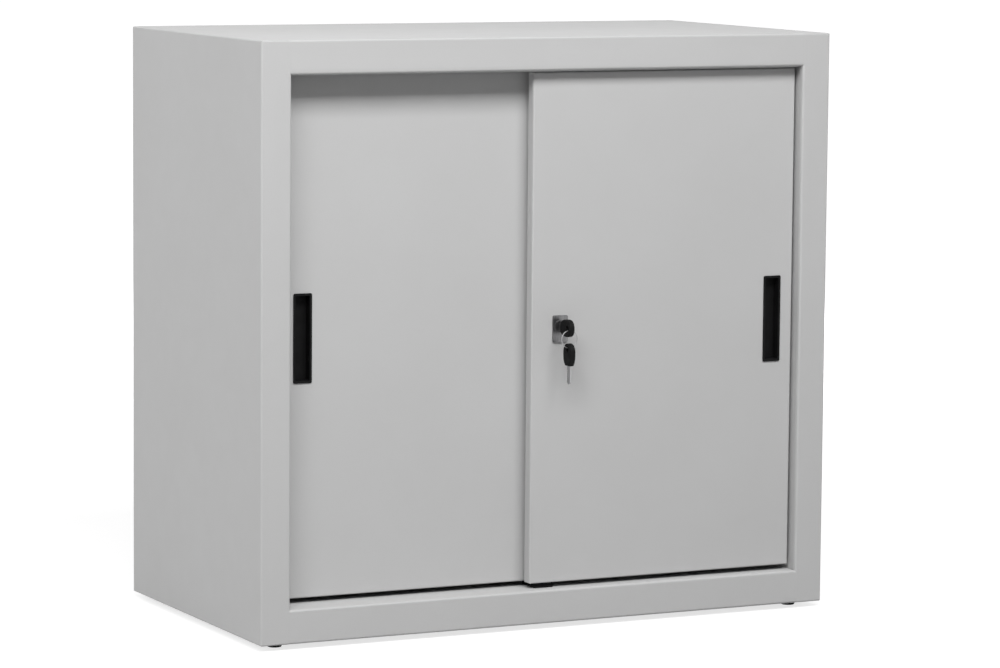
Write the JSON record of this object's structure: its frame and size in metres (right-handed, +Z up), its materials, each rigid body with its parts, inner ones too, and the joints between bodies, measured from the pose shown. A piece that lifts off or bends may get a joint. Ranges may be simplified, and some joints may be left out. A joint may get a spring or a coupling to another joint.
{
  "type": "sliding door cabinet",
  "caption": "Low folded steel cabinet with overlapping top-hung sliding doors, recessed pulls, a cam lock with keys and an adjustable shelf.",
  "frame": {"origin": "middle of the bounding box in plan, at the floor under the glides", "axes": "+X to the right seen from the front, +Y from the front to the back, +Z up; the doors face -Y"},
  "size_m": [0.8, 0.4526, 0.7535],
  "materials": {
    "powder_coat": "light grey powder coat, semi-matt",
    "zinc_plate": "bright zinc plate, satin",
    "dark_metal": "dark nickel plate on die-cast zinc, satin",
    "nickel_plate": "bright nickel plate",
    "black_plastic": "moulded black plastic, fine texture",
    "nylon": "natural nylon, satin",
    "buffer_rubber": "moulded rubber, matt"
  },
  "bodies": {
    "case": {"left_side_panel": "powder_coat", "right_side_panel": "powder_coat", "top_panel": "powder_coat", "base_panel": "powder_coat", "rail_cover": "powder_coat", "door_post_left": "powder_coat", "door_post_right": "powder_coat", "back_panel": "powder_coat", "floor_stiffener": "powder_coat", "hanging_rail": "zinc_plate", "floor_guide": "black_plastic", "front_rail_buffer_left": "buffer_rubber", "front_rail_buffer_right": "buffer_rubber", "rear_rail_buffer_left": "buffer_rubber", "rear_rail_buffer_right": "buffer_rubber", "shelf_upright_front_left": "zinc_plate", "shelf_clip_front_left": "zinc_plate", "shelf_upright_front_right": "zinc_plate", "shelf_clip_front_right": "zinc_plate", "shelf_upright_rear_left": "zinc_plate", "shelf_clip_rear_left": "zinc_plate", "shelf_upright_rear_right": "zinc_plate", "shelf_clip_rear_right": "zinc_plate", "shelf": "powder_coat", "glide_front_left": "black_plastic", "glide_front_right": "black_plastic", "glide_rear_left": "black_plastic", "glide_rear_right": "black_plastic"},
    "front_door": {"front_door_panel": "powder_coat", "front_door_stiffener": "powder_coat", "front_door_guide_channel": "zinc_plate", "front_door_pull": "black_plastic", "front_door_hanger_left": "zinc_plate", "front_door_axle_left": "zinc_plate", "front_door_hanger_right": "zinc_plate", "front_door_axle_right": "zinc_plate", "lock_case": "dark_metal"},
    "rear_door": {"rear_door_panel": "powder_coat", "rear_door_stiffener": "powder_coat", "rear_door_guide_channel": "zinc_plate", "rear_door_pull": "black_plastic", "rear_door_hanger_left": "zinc_plate", "rear_door_axle_left": "zinc_plate", "rear_door_hanger_right": "zinc_plate", "rear_door_axle_right": "zinc_plate", "lock_strike": "zinc_plate"},
    "front_door_roller_left": {"front_door_roller_left": "nylon"},
    "front_door_roller_right": {"front_door_roller_right": "nylon"},
    "rear_door_roller_left": {"rear_door_roller_left": "nylon"},
    "rear_door_roller_right": {"rear_door_roller_right": "nylon"},
    "lock_plug": {"lock_plug": "dark_metal", "lock_cam": "zinc_plate", "lock_cam_nut": "zinc_plate"},
    "key": {"key_blade": "nickel_plate", "key_head": "black_plastic"},
    "key_ring": {"key_ring": "nickel_plate"},
    "spare_key": {"spare_key_blade": "nickel_plate", "spare_key_head": "black_plastic"}
  },
  "joints": [
    {"name": "front_door_slide", "type": "slide", "parent": "case", "child": "front_door", "axis": [1, 0, 0], "range_m": [-0.336, 0]},
    {"name": "rear_door_slide", "type": "slide", "parent": "case", "child": "rear_door", "axis": [1, 0, 0], "range_m": [0, 0.336]},
    {"name": "front_door_roller_left_spin", "type": "hinge", "parent": "front_door", "child": "front_door_roller_left", "pos_m": [0.018, -0.1797, 0.7318], "axis": [0, 1, 0], "range_deg": [-2407, 0]},
    {"name": "front_door_roller_right_spin", "type": "hinge", "parent": "front_door", "child": "front_door_roller_right", "pos_m": [0.318, -0.1797, 0.7318], "axis": [0, 1, 0], "range_deg": [-2407, 0]},
    {"name": "rear_door_roller_left_spin", "type": "hinge", "parent": "rear_door", "child": "rear_door_roller_left", "pos_m": [-0.318, -0.1557, 0.7318], "axis": [0, 1, 0], "range_deg": [0, 2407]},
    {"name": "rear_door_roller_right_spin", "type": "hinge", "parent": "rear_door", "child": "rear_door_roller_right", "pos_m": [-0.018, -0.1557, 0.7318], "axis": [0, 1, 0], "range_deg": [0, 2407]},
    {"name": "lock_turn", "type": "hinge", "parent": "front_door", "child": "lock_plug", "pos_m": [0.018, -0.19, 0.3852], "axis": [0, -1, 0], "range_deg": [0, 90]},
    {"name": "key_withdraw", "type": "slide", "parent": "lock_plug", "child": "key", "axis": [0, -1, 0], "range_m": [0, 0.02]},
    {"name": "ring_swing", "type": "hinge", "parent": "key", "child": "key_ring", "pos_m": [0.018, -0.2153, 0.3821], "axis": [1, 0, 0], "range_deg": [-60, 5]},
    {"name": "spare_key_swing", "type": "hinge", "parent": "key_ring", "child": "spare_key", "pos_m": [0.018, -0.2153, 0.36124], "axis": [1, 0, 0], "range_deg": [-10, 5]}
  ],
  "couplings": [
    {"joint": "front_door_roller_left_spin", "follows": "front_door_slide", "rad_per_m": 125},
    {"joint": "front_door_roller_right_spin", "follows": "front_door_slide", "rad_per_m": 125},
    {"joint": "rear_door_roller_left_spin", "follows": "rear_door_slide", "rad_per_m": 125},
    {"joint": "rear_door_roller_right_spin", "follows": "rear_door_slide", "rad_per_m": 125}
  ]
}
